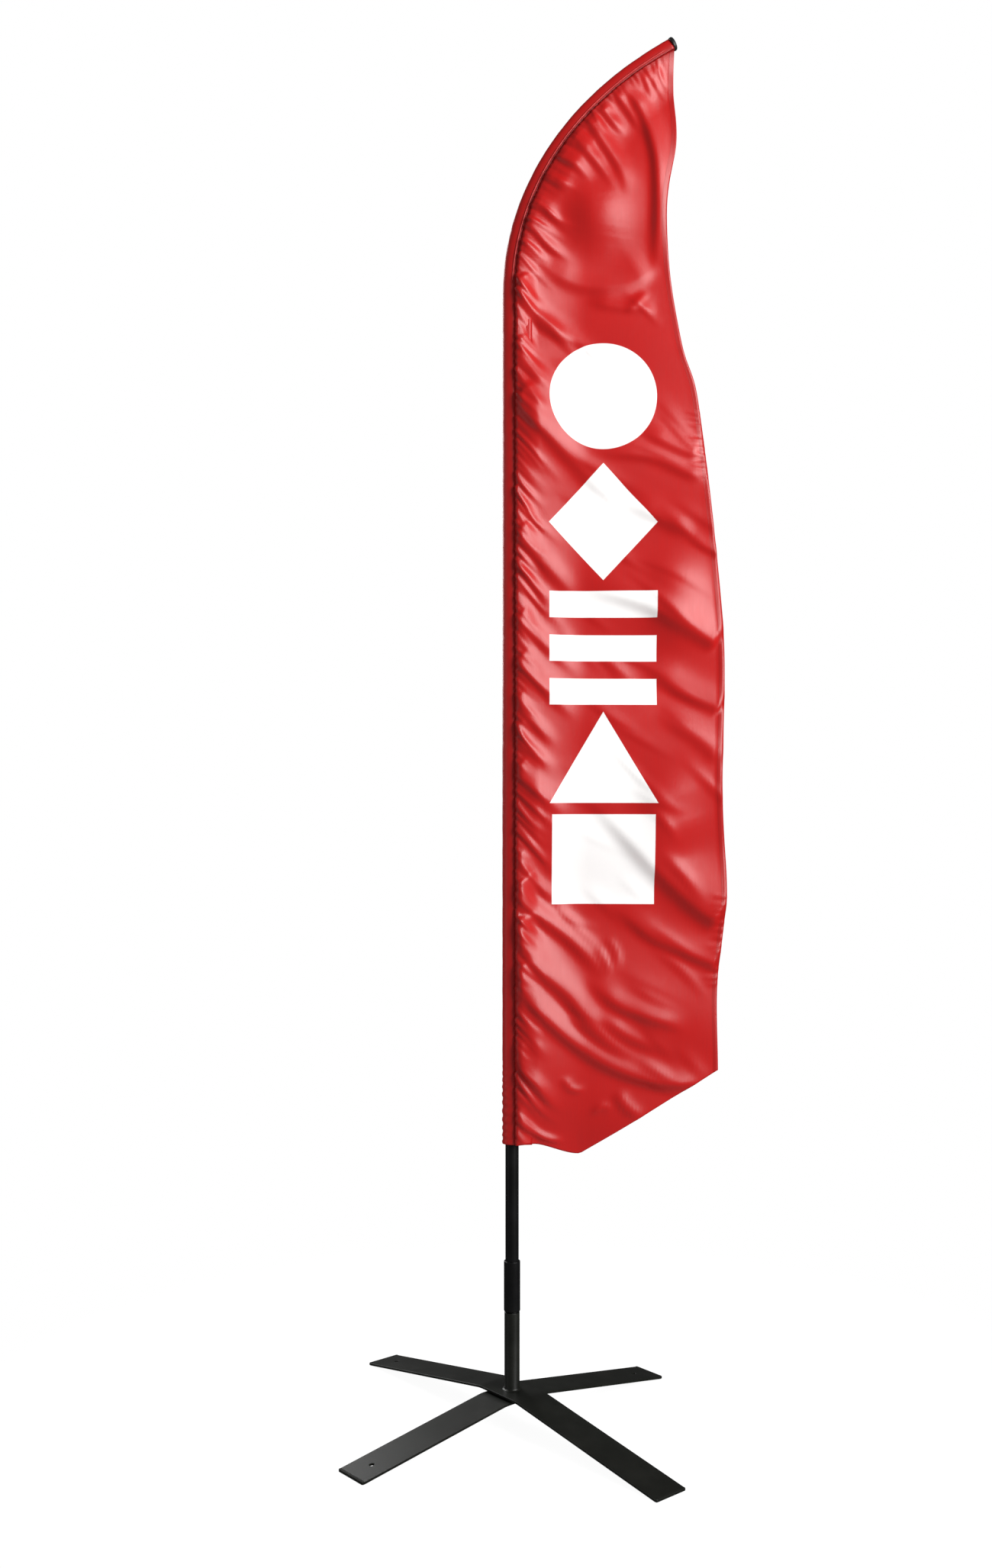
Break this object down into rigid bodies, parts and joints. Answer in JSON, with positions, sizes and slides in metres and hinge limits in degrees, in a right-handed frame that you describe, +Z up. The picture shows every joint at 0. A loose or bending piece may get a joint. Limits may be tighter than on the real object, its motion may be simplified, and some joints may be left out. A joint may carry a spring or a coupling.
{
  "type": "feather flag with pole",
  "caption": "Tall curved feather flag in a sleeve on a black jointed pole, turning on a bearing spindle over a folding cross base.",
  "frame": {"origin": "middle of the overall box in plan, on the floor under it; the pole axis is 54 mm to the -X side", "axes": "+Z up along the pole, +X from the pole towards the flag's free edge, +Y away from the side the flag's printed face is seen from"},
  "size_m": [0.7632, 0.7174, 2.8045],
  "materials": {
    "black_coat": "satin black powder coat over flat steel",
    "zinc_plated": "bright zinc plate on turned steel",
    "spring_steel": "oil-blackened spring steel",
    "bearing_steel": "ground and polished bearing steel",
    "nylon": "natural white nylon",
    "rubber": "matte black nitrile rubber",
    "black_anodised": "satin black anodised tube",
    "glass_fibre": "black pultruded glass fibre, slightly ground",
    "black_plastic": "moulded black plastic, matte",
    "red_satin": "red knitted polyester with a satin sheen, printed with white shapes that carry no text"
  },
  "bodies": {
    "base": {"upper_cross_bar": "black_coat", "base_post": "black_coat", "post_plug": "zinc_plated", "pivot_bolt": "zinc_plated", "bolt_washer": "zinc_plated", "pivot_spacer": "nylon", "post_circlip": "spring_steel", "bearing_spacer": "zinc_plated", "lower_bearing_outer_ring": "bearing_steel", "upper_bearing_outer_ring": "bearing_steel"},
    "lower_leg": {"lower_cross_bar": "black_coat"},
    "rotor": {"spindle": "zinc_plated", "spindle_circlip": "spring_steel", "lower_bearing_inner_ring": "bearing_steel", "upper_bearing_inner_ring": "bearing_steel", "lower_o_ring": "rubber", "upper_o_ring": "rubber"},
    "lower_cage": {"lower_ball_cage": "bearing_steel"},
    "upper_cage": {"upper_ball_cage": "bearing_steel"},
    "pole": {"coupler_sleeve": "black_anodised", "pole_tube_1": "black_anodised", "pole_tube_2": "black_anodised", "pole_tube_3": "black_anodised", "joint_stop_1": "nylon", "joint_stop_2": "nylon", "joint_stop_3": "nylon", "pole_tip_rod": "glass_fibre", "tip_cap": "black_plastic", "flag_sleeve": "red_satin", "flag_panel": "red_satin"}
  },
  "joints": [
    {"name": "base_fold", "type": "hinge", "parent": "base", "child": "lower_leg", "pos_m": [-0.05337, 0, 0.057], "axis": [0, 0, 1], "range_deg": [-90, 90]},
    {"name": "swivel", "type": "hinge", "parent": "base", "child": "rotor", "pos_m": [-0.05337, 0, 0.2], "axis": [0, 0, 1], "continuous": true},
    {"name": "lower_cage_spin", "type": "hinge", "parent": "base", "child": "lower_cage", "pos_m": [-0.05337, 0, 0.154], "axis": [0, 0, 1], "continuous": true},
    {"name": "upper_cage_spin", "type": "hinge", "parent": "base", "child": "upper_cage", "pos_m": [-0.05337, 0, 0.2106], "axis": [0, 0, 1], "continuous": true},
    {"name": "pole_lift", "type": "slide", "parent": "rotor", "child": "pole", "axis": [0, 0, 1], "range_m": [0, 0.11]}
  ],
  "couplings": [
    {"joint": "lower_cage_spin", "follows": "swivel", "ratio": 0.3778},
    {"joint": "upper_cage_spin", "follows": "swivel", "ratio": 0.3778}
  ]
}
